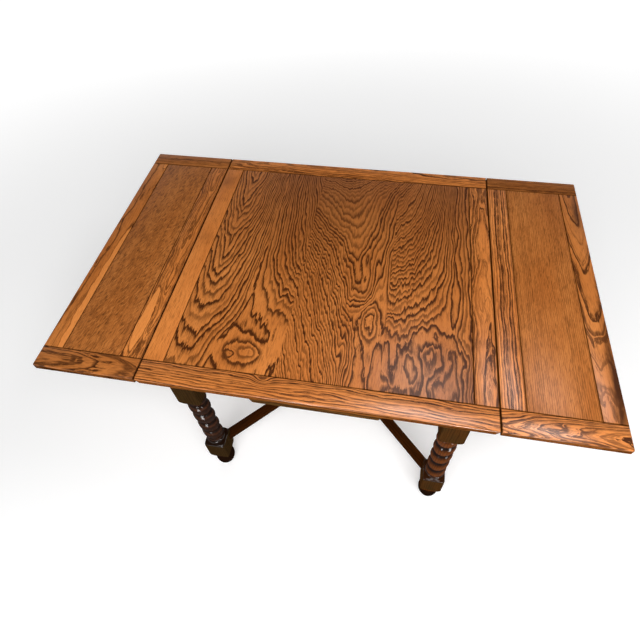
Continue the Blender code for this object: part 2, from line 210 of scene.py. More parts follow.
class OakFinish(bpy.types.PropertyGroup):
    """Colours and polish of the stained oak."""

    light: bpy.props.FloatVectorProperty(
        name="Light Oak",
        description="Palest tone between the grain lines",
        subtype="COLOR",
        default=(0.585, 0.204, 0.047),
        min=0.0,
        max=1.0,
    )
    warm: bpy.props.FloatVectorProperty(
        name="Warm Oak",
        description="Redder tone that drifts through the light one",
        subtype="COLOR",
        default=(0.405, 0.120, 0.022),
        min=0.0,
        max=1.0,
    )
    line: bpy.props.FloatVectorProperty(
        name="Grain Line",
        description="Stain held in the grain lines and pores",
        subtype="COLOR",
        default=(0.052, 0.014, 0.003),
        min=0.0,
        max=1.0,
    )
    bare: bpy.props.FloatVectorProperty(
        name="Bare Oak",
        description="Unpolished oak of the hidden pieces",
        subtype="COLOR",
        default=(0.26, 0.135, 0.055),
        min=0.0,
        max=1.0,
    )
    apron: bpy.props.FloatVectorProperty(
        name="Apron Oak",
        description="Warm brown of the aprons",
        subtype="COLOR",
        default=(0.200, 0.088, 0.021),
        min=0.0,
        max=1.0,
    )
    frame: bpy.props.FloatVectorProperty(
        name="Frame Oak",
        description="Dull brown of the square blocks",
        subtype="COLOR",
        default=(0.040, 0.022, 0.007),
        min=0.0,
        max=1.0,
    )
    turned: bpy.props.FloatVectorProperty(
        name="Turned Oak",
        description="Dark polish on the twists and feet",
        subtype="COLOR",
        default=(0.020, 0.007, 0.003),
        min=0.0,
        max=1.0,
    )
    # Amber is painted light on the right-hand legs, as lit copies of the dark polish; it also colours the
    # centre panel's painted shade and the stretchers
    amber: bpy.props.FloatVectorProperty(
        name="Amber",
        description="Worn polish that glows orange on the right-hand twists",
        subtype="COLOR",
        default=(0.115, 0.030, 0.004),
        min=0.0,
        max=1.0,
    )
    # Groove also colours the boards' dirt and painted shade along their joints, and the painted shade on
    # their sides and underside
    groove: bpy.props.FloatVectorProperty(
        name="Groove",
        description="Old wax in the grooves and corners",
        subtype="COLOR",
        default=(0.010, 0.004, 0.002),
        min=0.0,
        max=1.0,
    )
    polish: bpy.props.FloatProperty(
        name="Polish",
        description="Roughness of the waxed top",
        default=0.42, min=0.0, max=1.0, subtype="FACTOR",
    )
    wax: bpy.props.FloatProperty(
        name="Wax",
        description="Strength of the wax coat on the top",
        default=0.36, min=0.0, max=1.0, subtype="FACTOR",
    )
    easing: bpy.props.FloatProperty(
        name="Easing", description="Rounding of the sharp edges", default=0.0006, min=0.0, unit="LENGTH"
    )


class LegTurning(bpy.types.PropertyGroup):
    """Sizes of a leg, from the floor up."""

    block: bpy.props.FloatProperty(
        name="Block", description="Side of the square blocks", default=0.070, unit="LENGTH"
    )
    foot_height: bpy.props.FloatProperty(
        name="Foot Height", description="Bun foot", default=0.080, unit="LENGTH"
    )
    foot_radius: bpy.props.FloatProperty(
        name="Foot Radius", description="Bun foot", default=0.034, unit="LENGTH"
    )
    foot_base: bpy.props.FloatProperty(
        name="Foot Base", description="Flat of the foot", default=0.018, unit="LENGTH"
    )
    ankle: bpy.props.FloatProperty(
        name="Ankle", description="Neck above the foot", default=0.022, unit="LENGTH"
    )
    ankle_height: bpy.props.FloatProperty(
        name="Ankle Height", description="Its length", default=0.018, unit="LENGTH"
    )
    shoulder: bpy.props.FloatProperty(
        name="Shoulder", description="Height of a shoulder", default=0.012, unit="LENGTH"
    )
    shoulder_start: bpy.props.FloatProperty(
        name="Shoulder Start",
        description="Radius where a shoulder leaves its neck",
        default=0.030, unit="LENGTH",
    )
    lower_block: bpy.props.FloatProperty(
        name="Lower Block", description="Square part between its shoulders", default=0.085, unit="LENGTH"
    )
    neck: bpy.props.FloatProperty(
        name="Neck", description="Radius at the ends", default=0.0265, unit="LENGTH"
    )
    neck_height: bpy.props.FloatProperty(
        name="Neck Height", description="Plain neck", default=0.004, unit="LENGTH"
    )
    collar: bpy.props.FloatProperty(
        name="Collar", description="Height of the ring", default=0.016, unit="LENGTH"
    )
    collar_bulge: bpy.props.FloatProperty(
        name="Collar Bulge", description="Its swell", default=0.005, unit="LENGTH"
    )
    twist_radius: bpy.props.FloatProperty(
        name="Twist Radius", description="Crest", default=0.032, unit="LENGTH"
    )
    twist_depth: bpy.props.FloatProperty(
        name="Twist Depth", description="Groove", default=0.009, unit="LENGTH"
    )
    twist_pitch: bpy.props.FloatProperty(
        name="Twist Pitch", description="One turn", default=0.065, unit="LENGTH"
    )
    twist_fade: bpy.props.FloatProperty(
        name="Twist Fade", description="Run-out", default=0.012, unit="LENGTH"
    )
    top_block: bpy.props.FloatProperty(
        name="Top Block", description="Upper square", default=0.168, unit="LENGTH"
    )


class StageLight(bpy.types.PropertyGroup):
    """The floor and the studio light."""

    floor: bpy.props.FloatVectorProperty(
        name="Floor",
        description="Pale floor",
        subtype="COLOR", default=(0.86, 0.86, 0.86), min=0.0, max=1.0,
    )
    sky: bpy.props.FloatProperty(
        name="Sky", description="Soft light from all round", default=0.60, min=0.0
    )
    zenith: bpy.props.FloatProperty(
        name="Zenith",
        description="Share of the sky light left overhead",
        default=0.12, min=0.0, max=1.0, subtype="FACTOR",
    )
    rim: bpy.props.FloatProperty(
        name="Rim", description="Share of the sky light low down", default=1.65, min=0.0
    )
    key: bpy.props.FloatProperty(
        name="Key", description="Large light over the front", default=81.0, min=0.0, unit="POWER"
    )
    sheen: bpy.props.FloatProperty(
        name="Sheen",
        description="Light that the front right corner mirrors",
        default=11.0, min=0.0, unit="POWER",
    )
    gloss: bpy.props.FloatProperty(
        name="Gloss",
        description="Light seen only in the wax of the front",
        default=18.0, min=0.0, unit="POWER",
    )
    glint: bpy.props.FloatProperty(
        name="Glint",
        description="Lights seen only in the polish of the turnings",
        default=11.0, min=0.0, unit="POWER",
    )
    fill: bpy.props.FloatProperty(
        name="Fill",
        description="Soft light on the back of the table",
        default=75.0, min=0.0, unit="POWER",
    )
    glow: bpy.props.FloatProperty(
        name="Glow",
        description="Own light of the floor under the table",
        default=0.30, min=0.0, max=1.0, subtype="FACTOR",
    )
    far_glow: bpy.props.FloatProperty(
        name="Far Glow",
        description="Own light of the floor far behind it",
        default=0.86, min=0.0, max=1.0, subtype="FACTOR",
    )


class Flow:
    """A socket of a node tree. Arithmetic on it adds Math nodes and gives the socket of the result."""

    def __init__(self, tree, socket=None):
        self.tree = tree
        self.socket = socket

    def node(self, kind, inputs=None, output=0, **settings):
        """Adds a node: its settings come first, then the values or links of its sockets."""
        made = self.tree.nodes.new(kind)
        for name, value in settings.items():
            setattr(made, name, value)
        for key, value in (inputs or {}).items():
            if isinstance(value, Flow):
                self.tree.links.new(value.socket, made.inputs[key])
            else:
                made.inputs[key].default_value = value
        return Flow(self.tree, made.outputs[output])

    def math(self, operation, *values):
        return self.node("ShaderNodeMath", dict(enumerate(values)), operation=operation)

    def __add__(self, other):
        return self.math("ADD", self, other)

    def __radd__(self, other):
        return self.math("ADD", other, self)

    def __sub__(self, other):
        return self.math("SUBTRACT", self, other)

    def __rsub__(self, other):
        return self.math("SUBTRACT", other, self)

    def __mul__(self, other):
        return self.math("MULTIPLY", self, other)

    def __rmul__(self, other):
        return self.math("MULTIPLY", other, self)

    def __truediv__(self, other):
        return self.math("DIVIDE", self, other)

    def __rtruediv__(self, other):
        return self.math("DIVIDE", other, self)

    def __pow__(self, other):
        return self.math("POWER", self, other)

    def __abs__(self):
        return self.math("ABSOLUTE", self)

    def __gt__(self, other):
        return self.math("GREATER_THAN", self, other)

    def __lt__(self, other):
        return self.math("LESS_THAN", self, other)


def root(value):
    return value.math("SQRT", value)


def cosine(value):
    return value.math("COSINE", value)


def sine(value):
    return value.math("SINE", value)


def least(value, other):
    return value.math("MINIMUM", value, other)


def most(value, other):
    return value.math("MAXIMUM", value, other)


def smooth(value, low, high):
    """0 below low, 1 above high, with a soft step between them."""
    sockets = {"Value": value, "From Min": low, "From Max": high}
    return value.node("ShaderNodeMapRange", sockets, interpolation_type="SMOOTHSTEP")


def blend(factor, first, second):
    """Mixes two colours."""
    colours = {0: factor, 6: first, 7: second}
    return factor.node("ShaderNodeMix", colours, output=2, data_type="RGBA")


def rgba(colour, tone=1.0):
    return (*(channel * tone for channel in colour), 1.0)


class Grain(NamedTuple):
    """A noise along the grain: its sizes along, across and up, its own seed, and how fine it gets."""

    sizes: tuple
    seed: float = 0.0
    detail: float = 2.0


def drift(point, grain, seed=0.0):
    """Smooth noise from about -1 to 1."""
    shift = seed + grain.seed
    scaled = [axis / size for axis, size in zip(point, grain.sizes)]
    shifted = {i: axis + shift * (3.7 + 1.9 * i) for i, axis in enumerate(scaled)}
    vector = point[0].node("ShaderNodeCombineXYZ", shifted)
    sockets = {"Vector": vector, "Scale": 1.0, "Detail": grain.detail}
    return point[0].node("ShaderNodeTexNoise", sockets, output="Fac") * 3.0 - 1.5


def new_finish(name, roughness, coat_roughness=0.34):
    """A material, its shader and a bench to build its nodes on. Only its coat mirrors anything."""
    material = bpy.data.materials.new(name)
    material.use_nodes = True
    shader = material.node_tree.nodes["Principled BSDF"]
    shader.inputs["Roughness"].default_value = roughness
    shader.inputs["Specular IOR Level"].default_value = 0.0
    shader.inputs["Coat Roughness"].default_value = coat_roughness
    return material, shader, Flow(material.node_tree)


def wire(shader, **flows):
    for name, flow in flows.items():
        flow.tree.links.new(flow.socket, shader.inputs[name.replace("_", " ")])


def object_axes(bench):
    place = bench.node("ShaderNodeTexCoord", output="Object")
    return [bench.node("ShaderNodeSeparateXYZ", {0: place}, output=axis) for axis in "XYZ"]


def grain_axes(bench, node, turn):
    """Along the grain, across it, and up from the upper face, measured from the middle of a piece."""
    low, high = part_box(node)
    middle = (low + high) / 2
    x, y, z = object_axes(bench)
    x, y, up = x - middle.x, y - middle.y, z - high.z
    if turn == ALONG_X:
        return x, y, up
    if turn == ALONG_Y:
        return y, x, up
    ahead, aside = math.cos(math.radians(turn)), math.sin(math.radians(turn))
    return x * ahead + y * aside, y * ahead - x * aside, up


# A grain line is wider along the grain than across it
STEP = 0.0006
LINE_ALONG = 0.0048
LINE_ACROSS = 0.0018
LINE_MOST = 0.22
LINE_LEAST = 0.02


def hill(x, y, middle, radii):
    """A smooth hill of height 1 on a board."""
    far = ((x - middle[0]) / radii[0]) ** 2 + ((y - middle[1]) / radii[1]) ** 2
    return far.math("EXPONENT", far * -1.0)


def slopes(way, left, right):
    """A valley with a rounded bottom: each side has a steepness and a softness."""
    sides = []
    for side, (steep, soft) in ((least(way, 0.0), left), (most(way, 0.0), right)):
        sides.append((root(side * side + soft * soft) - soft) * steep)
    return sides[0] + sides[1]


def fan(y, dense, rate, opening):
    """Lines for each metre across a fan whose middle opens into a bare heart toward the front."""
    spread = y.math("EXPONENT", y * rate - y * y * rate)
    return spread * (smooth(y, *opening) * 0.92 + 0.08) * dense


# How the rings of a sawn board wander: sideways, in depth, and in the fine steps of a line
SIDE_SWAY = Grain((0.16, 0.07, 0.07))
DEPTH_SWAY = Grain((0.22, 0.05, 0.05), 0.31)
TOOTH = Grain((0.050, 0.007, 0.007), 0.62, 3.0)
YEAR_SPREAD = 0.9


def sawn_rings(along, across, up, cut, seed):
    """Counts the growth rings from the heart of the log to a point of a board."""
    point = along, across, up
    side = across - cut.across + drift(point, SIDE_SWAY, seed) * cut.sway
    deep = up + along * cut.tilt + cut.depth + drift(point, DEPTH_SWAY, seed) * cut.sway
    rings = root(side * side + deep * deep) / cut.ring
    for middle, radii, count in cut.knots:
        rings += hill(along, across, middle, radii) * count
    sockets = {"W": rings * 0.5 + seed, "Detail": 1.0}
    years = rings.node("ShaderNodeTexNoise", sockets, output="Fac", noise_dimensions="1D")
    return rings + years * YEAR_SPREAD + drift(point, TOOTH, seed) * cut.tooth


# The centre panel: the seams between its three veneers, and the places and reach of their marks
SEAMS = (-0.0965, 0.1675)
LEFT_HEART = -0.345
LEFT_FAN = -0.2267
EYES, EYES_REACH = (-0.205, -0.345), (0.085, 0.070)
LEFT_KNOTS = (
    ((-0.205, -0.343), (0.070, 0.060), 1.7),
    ((-0.205, -0.340), (0.060, 0.028), 0.9),
    ((-0.229, -0.346), (0.013, 0.010), -1.6),
    ((-0.179, -0.335), (0.021, 0.018), 0.8),
    ((-0.223, -0.130), (0.006, 0.030), 0.55),
    ((-0.203, -0.210), (0.005, 0.018), 0.55),
    ((-0.167, -0.224), (0.005, 0.016), 0.55),
)
MIDDLE_FOLD, MIDDLE_LEAN = 0.0639, 0.168
MIDDLE_KNOT, MIDDLE_KNOT_REACH = (0.115, -0.190), (0.040, 0.058)
RIGHT_RIDGE = 0.353
RIGHT_TURN = -0.22

# How the rings of the veneers wander, from large to fine, and the marks that noise makes in them
SWELL = Grain((0.15, 0.06, 1.0), 0.57)
BEND = Grain((0.14, 0.05, 1.0), 0.21)
RIPPLE = Grain((0.070, 0.016, 1.0), 0.71, 3.0)
NICK = Grain((0.045, 0.0035, 1.0), 0.33)
VENEER_TOOTH = Grain((0.055, 0.008, 1.0), 0.37, 3.0)
ISLAND = Grain((0.115, 0.055, 1.0), 0.83)
FLAME = Grain((0.150, 0.034, 1.0), 0.47, 0.0)
MOTTLE = Grain((0.024, 0.014, 1.0), 0.19)
BAND = Grain((0.15, 0.075, 1.0), 0.29)


def left_veneer(x, y, side, long, island, still):
    """Lines round a bare heart that open into a fan, with a pair of eyes near the front."""
    valley = side - LEFT_HEART
    half_width = 0.125 - smooth(y * -1.0, 0.15, 0.36) * 0.062
    apart = least(most(valley, 0.0) / half_width - least(valley, 0.0) / 0.130, 1.0)
    rings = (1.0 - apart * (apart * 0.55 + 0.45)) * (long * 22.0 + 11.5)
    rings += most(side - LEFT_FAN, 0.0) * fan(long, 90.0, 2.3, (-0.30, 0.0))
    rings += island * smooth(x, -0.26, -0.20) * still * 0.7
    for spot, radii, count in LEFT_KNOTS:
        rings += hill(side, (y * 2.0 + long) / 3.0, spot, radii) * count
    return rings


def middle_veneer(x, y, side, long, island, point):
    """Flames along a leaning fold, with a knot and islands toward the front."""
    rise = most(long - 0.2, 0.0)
    steep = 125.0 - smooth(y, -0.05, 0.28) * 78.0
    rings = slopes(side + long * MIDDLE_LEAN - MIDDLE_FOLD, (steep, 0.03), (95.0, 0.05))
    rings -= long * 22.0 + rise * rise * rise * 700.0
    flame = smooth(x, 0.02, 0.07) * (1.0 - smooth(y, 0.02, 0.16))
    rings += drift(point, FLAME) * flame * 1.6
    mottle = drift(point, MOTTLE) * 0.5
    rings += hill(side, y, MIDDLE_KNOT, MIDDLE_KNOT_REACH) * (mottle + 4.0)
    return rings + (least(long + 0.24, 0.0) * 24.0 + island * 1.3) * smooth(x, 0.02, 0.08)


def right_veneer(side, long, up, front):
    """Arches that lean on a ridge at the panel's edge, and loose bands toward the front."""
    ridge = RIGHT_RIDGE - side
    near = least(most(ridge, 0.0) / 0.19, 1.0)
    behind = long - RIGHT_TURN
    lift = most(behind, 0.0) * 55.0 + least(behind, 0.0) * 8.0 + 1.0
    rings = (near * 1.5 - near * near * 0.5) * lift - least(ridge, 0.0) * 90.0
    return rings + drift((long, side, up), BAND) * front * 2.4


def veneer_rings(y, x, up):
    """The figure of the centre panel: three leaves of veneer laid side by side."""
    point = (y, x, up)
    side = x + drift(point, BEND) * 0.009
    calm = 1.0 - smooth(y, 0.05, 0.40) * 0.6
    long = y + drift(point, RIPPLE) * calm * 0.019
    long += drift(point, NICK) * 0.004
    front = smooth(y * -1.0, 0.10, 0.26)
    island = drift((long, side, up), ISLAND) * front
    still = 1.0 - hill(x, y, EYES, EYES_REACH)
    left = left_veneer(x, y, side, long, island, still)
    middle = middle_veneer(x, y, side, long, island, point)
    right = right_veneer(side, long, up, front)
    rings = left + (middle - left) * (x > SEAMS[0]) + (right - middle) * (x > SEAMS[1])
    rings += drift(point, SWELL) * (still * 0.7 + 0.1)
    return rings + drift(point, VENEER_TOOTH) * 0.18


# Dirt and painted shade along the joints: how near a joint they lie; painted shade on the sides and
# underside of a board, where less light falls: how far down its edge it starts and is full
DIRT_AND_SHADE_NEAR, DIRT_AND_SHADE_FAR = 0.0003, 0.0026
EDGE_START, EDGE_FULL = -0.002, -0.006
EDGE_PAINTED_SHADE = 0.7


def joint_dirt_and_painted_shade(bench, node):
    """How dark a point of a board is painted, from 0 to 1: dirt and painted shade close to a joint with
    its neighbour, and painted shade down its sides and underside.
    """
    low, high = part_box(node)
    x, y, z = object_axes(bench)
    ways = []
    for axis, i in ((x, 0), (y, 1)):
        if abs(low[i] - CAD_BOX[0][i]) > WELD:
            ways.append(axis - low[i])
        if abs(high[i] - CAD_BOX[1][i]) > WELD:
            ways.append(high[i] - axis)
    near = ways[0]
    for way in ways[1:]:
        near = least(near, way)
    # Painted shade on the sides and underside of a board, where less light falls
    edge = 1.0 - smooth(z - high.z, EDGE_FULL, EDGE_START)
    return most(1.0 - smooth(near, DIRT_AND_SHADE_NEAR, DIRT_AND_SHADE_FAR), edge * EDGE_PAINTED_SHADE)


def figure(rings_at, point, *settings):
    """The rings at a point, and half the width of a grain line as a share of the way to the next."""
    along, across, up = point
    here = rings_at(along, across, up, *settings)
    climb = (rings_at(along + STEP, across, up, *settings) - here) / STEP
    lean = (rings_at(along, across + STEP, up, *settings) - here) / STEP
    return here, least(abs(climb) * LINE_ALONG + abs(lean) * LINE_ACROSS, LINE_MOST) + LINE_LEAST


# Texture of oak, from large to fine, and what only some boards show
PATCH = Grain((0.30, 0.10, 0.10), 0.37)
CLOUD = Grain((0.060, 0.022, 0.022), 0.47, 3.0)
BLOT = Grain((0.030, 0.010, 0.010), 0.83)
STREAK = Grain((0.026, 0.0036, 0.0036), 0.67, 3.0)
FIBRE = Grain((0.030, 0.0014, 0.0014), 0.11)
PORE = Grain((0.018, 0.0013, 0.0013), 0.23)
WANDER = Grain((0.07, 0.03, 0.03), 0.93)
RAY_SHADOW = Grain((0.018, 0.0042, 0.0042), 0.59, 1.0)
RAY = Grain((0.016, 0.0038, 0.0038), 0.53, 1.0)
RAY_AHEAD, RAY_ASIDE = 0.94, 0.34
WORN = Grain((0.08, 0.03, 0.03), 0.7, 3.0)


def add_tongues(cut, point, colour, strength, pale, blot, fibre, seed):
    """Lays pale islands with a dark rim over the grain lines."""
    wander = blot * 0.003 + drift(point, WANDER, seed) * 0.005
    for middle, radii in cut.tongues:
        inside = hill(point[0], point[1] + wander, middle, radii)
        colour = blend(smooth(inside, 0.40, 0.46) * (fibre * 0.2 + 0.6), colour, pale)
        rim = smooth(inside, 0.30, 0.38) * (1.0 - smooth(inside, 0.38, 0.42))
        strength = most(strength * (1.0 - smooth(inside, 0.36, 0.42)), rim * 0.8)
    return colour, strength


def add_fleck(cut, point, colour, cloud, light, dark, seed):
    """Lays the short leaning rays of a quartered board over its colour."""
    colour = blend(smooth(cloud, -0.4, 1.0) * (0.35 * cut.fleck), colour, dark)
    along, across, up = point
    lean = (along * RAY_AHEAD + across * RAY_ASIDE, across * RAY_AHEAD - along * RAY_ASIDE, up)
    shadow = smooth(drift(lean, RAY_SHADOW, seed), 0.05, 0.65)
    colour = blend(shadow * (0.65 * cut.fleck), colour, dark)
    ray = smooth(drift(lean, RAY, seed), 0.15, 0.65)
    return blend(ray * (0.7 * cut.fleck), colour, light)


def oak_surface(shader, point, rings, width, colours, cut, seed, dirt_and_shade=None, shade=None):
    """Colour, polish and relief of oak from its rings."""
    finish = bpy.context.scene.oak_finish
    light, warm, dark = (rgba(colour, cut.tone) for colour in colours)
    patch, cloud, blot, fibre = (drift(point, grain, seed) for grain in (PATCH, CLOUD, BLOT, FIBRE))
    streak = smooth(drift(point, STREAK, seed), -0.1, 0.8)
    pore = smooth(drift(point, PORE, seed), 0.15, 0.7)
    # A grain line rises softly on one side and ends sharply on the other, and each has its own strength
    part = rings.math("FRACT", rings)
    chance = rings.node("ShaderNodeTexWhiteNoise", {"W": rings - part + seed}, noise_dimensions="1D")
    off = (part - 0.5) / (width * (blot * 0.6 + 1.0))
    halo = smooth(off, -5.0, 0.0) * 0.35 + smooth(off, -1.9, -0.1) * 0.65
    line = halo * (1.0 - smooth(off, 0.5, 1.3))
    strength = line * (chance * 0.6 + 0.45) * (fibre * 0.25 + 0.85) * cut.contrast
    colour = blend(patch * 0.6 + 0.5, light, warm)
    colour = blend(fibre * 0.30 + cloud * 0.35 + 0.15, colour, warm)
    colour = blend(streak * 0.46, colour, dark)
    # On the centre panel: painted shade toward the back, and darker wood in places
    if shade:
        colour = blend(shade, colour, rgba(finish.amber))
    if cut.tongues:
        pale = rgba(colours[0], 1.1)
        colour, strength = add_tongues(cut, point, colour, strength, pale, blot, fibre, seed)
    colour = blend(strength, colour, dark)
    colour = blend(pore * 0.42, colour, dark)
    for middle, radii, amount in cut.stains:
        colour = blend(hill(*point[:2], middle, radii) * (cloud * 0.4 + 0.8) * amount, colour, dark)
    if cut.fleck:
        colour = add_fleck(cut, point, colour, cloud, light, dark, seed)
    rough = strength * 0.12 + pore * 0.1 + finish.polish
    # Dirt and painted shade along the joints, and painted shade on the sides and underside, in the colour
    # of old wax; there the wax coat is left off
    if dirt_and_shade:
        colour = blend(dirt_and_shade * 0.8, colour, rgba(finish.groove))
        rough = rough + dirt_and_shade * 0.3
        clear_of_dirt_and_shade = 1.0 - smooth(dirt_and_shade, 0.0, 0.6)
        wire(shader, Coat_Weight=clear_of_dirt_and_shade * (1.0 - strength * 0.4) * (finish.wax * cut.wax))
    height = pore * -0.6 - strength * 0.3 + fibre * 0.25
    relief = rings.node("ShaderNodeBump", {"Strength": 0.35, "Distance": 0.0004, "Height": height})
    wire(shader, Base_Color=colour, Roughness=rough, Normal=relief)


def board_oak(node, cut, seed, colours, dirty_and_shaded=True):
    """Oak of one board, with dirt and painted shade where it meets others and painted shade on its sides
    and underside, unless it is hidden.
    """
    finish = bpy.context.scene.oak_finish
    material, shader, bench = new_finish(node + "_oak", finish.polish)
    point = grain_axes(bench, node, cut.turn)
    rings, width = figure(sawn_rings, point, cut, seed)
    dirt_and_shade = joint_dirt_and_painted_shade(bench, node) if dirty_and_shaded else None
    oak_surface(shader, point, rings, width * cut.bold, colours, cut, seed, dirt_and_shade)
    return material


# Where the centre panel is darker: painted shade toward the back, where less light falls, kept off its
# left side; darker wood behind its middle and in the front right corner
PAINTED_SHADE_X, PAINTED_SHADE_Y = (-0.40, -0.18), (-0.30, 0.42)
DARK_MIDDLE, DARK_MIDDLE_REACH = (-0.04, 0.20), (0.10, 0.30)
DARK_CORNER_X, DARK_CORNER_Y = (0.05, 0.28), (-0.36, -0.12)


def veneer_oak(node, colours):
    """Figured oak of the centre panel, with painted shade toward the back and darker wood in the front
    right corner.
    """
    finish = bpy.context.scene.oak_finish
    material, shader, bench = new_finish(node + "_veneer", finish.polish)
    x, y, z = object_axes(bench)
    point = (y, x, z)
    corner = smooth(x, *DARK_CORNER_X) * (1.0 - smooth(y, *DARK_CORNER_Y))
    # Painted shade: the panel darkens toward the back as if less light reached it
    shade = smooth(y, *PAINTED_SHADE_Y) * smooth(x, *PAINTED_SHADE_X) * 0.44
    shade += hill(x, y, DARK_MIDDLE, DARK_MIDDLE_REACH) * 0.16
    shade += corner * 0.42
    rings, width = figure(veneer_rings, point)
    width *= corner * 0.5 + 1.0
    dirt_and_shade = joint_dirt_and_painted_shade(bench, node)
    oak_surface(shader, point, rings, width, colours, VENEER_CUT, VENEER_SEED, dirt_and_shade, shade)
    return material


def place_piece(piece, *nodes):
    """Lets a finished piece stand for its solids and ride with them."""
    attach(piece, BODY_OF[nodes[0]])
    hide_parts(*nodes)


def eased_copy(node, material):
    """A copy of a solid with its sharp edges eased."""
    easing = bpy.context.scene.oak_finish.easing
    shape = bmesh.new()
    shape.from_mesh(frame["nodes"][node].data)
    bmesh.ops.remove_doubles(shape, verts=shape.verts, dist=WELD)
    bmesh.ops.dissolve_limit(shape, angle_limit=FLAT_ANGLE, verts=shape.verts, edges=shape.edges)
    sharp = [edge for edge in shape.edges if edge.is_manifold and edge.calc_face_angle() > EASED_ANGLE]
    bmesh.ops.bevel(
        shape, geom=sharp, offset=easing, segments=2, profile=0.5, affect="EDGES", clamp_overlap=True
    )
    mesh = bpy.data.meshes.new(node + "_finished")
    shape.to_mesh(mesh)
    shape.free()
    mesh.materials.append(material)
    mesh.shade_smooth()
    mesh.set_sharp_from_angle(angle=SMOOTH_ANGLE)
    piece = bpy.data.objects.new(mesh.name, mesh)
    bpy.context.scene.collection.objects.link(piece)
    place_piece(piece, node)


def finish_boards(cuts, tones, first_seed, dirty_and_shaded=True):
    """Finishes boards in turn, each from its own place in the log."""
    for i, (node, cut) in enumerate(cuts.items()):
        seed = first_seed + i * SEED_STEP
        eased_copy(node, board_oak(node, cut, seed, oak_colours(tones), dirty_and_shaded))


def oak_colours(tones):
    """Colours of the finish by their names."""
    finish = bpy.context.scene.oak_finish
    return [getattr(finish, tone) for tone in tones]


class EXTENDING_TABLE_OT_top(bpy.types.Operator):
    """Finish the loose top and its pegs"""

    bl_idname = "extending_table.top"
    bl_label = "Loose Top"

    def execute(self, context):
        finish_boards(TOP_CUTS, TOP_TONES, TOP_SEED)
        eased_copy("top_panel", veneer_oak("top_panel", oak_colours(TOP_TONES)))
        pegs = {node: HIDDEN_CUT for node in ("top_peg_front", "top_peg_back")}
        finish_boards(pegs, HIDDEN_TONES, PEG_SEED, dirty_and_shaded=False)
        return {"FINISHED"}


class EXTENDING_TABLE_OT_leaves(bpy.types.Operator):
    """Finish the boards, bearers and stops of both leaves"""

    bl_idname = "extending_table.leaves"
    bl_label = "Draw Leaves"

    def execute(self, context):
        finish_boards(LEFT_LEAF_CUTS, TOP_TONES, LEFT_SEED)
        finish_boards(RIGHT_LEAF_CUTS, TOP_TONES, RIGHT_SEED)
        hidden = {}
        for side in ("left", "right"):
            for piece in ("bearer", "stop"):
                for depth in ("front", "back"):
                    hidden[f"{side}_{piece}_{depth}"] = HIDDEN_CUT
        finish_boards(hidden, HIDDEN_TONES, BEARER_SEED, dirty_and_shaded=False)
        return {"FINISHED"}


class EXTENDING_TABLE_OT_frame(bpy.types.Operator):
    """Finish the aprons, the stretchers and the centre board"""

    bl_idname = "extending_table.frame"
    bl_label = "Frame"

    def execute(self, context):
        bars = {
            "lower_stretcher": BAR_CUT._replace(turn=45.0),
            "upper_stretcher": BAR_CUT._replace(turn=-45.0),
        }
        board = {"centre_board": HIDDEN_CUT._replace(turn=ALONG_Y)}
        finish_boards(FRAME_CUTS, FRAME_TONES, APRON_SEED, dirty_and_shaded=False)
        finish_boards(bars, BAR_TONES, BAR_SEED, dirty_and_shaded=False)
        finish_boards(board, HIDDEN_TONES, BOARD_SEED, dirty_and_shaded=False)
        return {"FINISHED"}


# Legs: how finely they are turned, how far the corners of their blocks are eased, how round the groove is
LEG_SIDES = 96
LEG_ROWS = 420
LEG_EASE = 0.975
GROOVE_ROUNDING = 0.015

# Inputs of the leg's nodes that differ from leg to leg
LEG_INPUTS = (("Height", "Float"), ("Hand", "Float"), ("Place", "Vector"), ("Material", "Material"))


def number_properties(settings):
    """The sizes and colours of a property group."""
    return [prop for prop in settings.bl_rna.properties if prop.type == "FLOAT"]


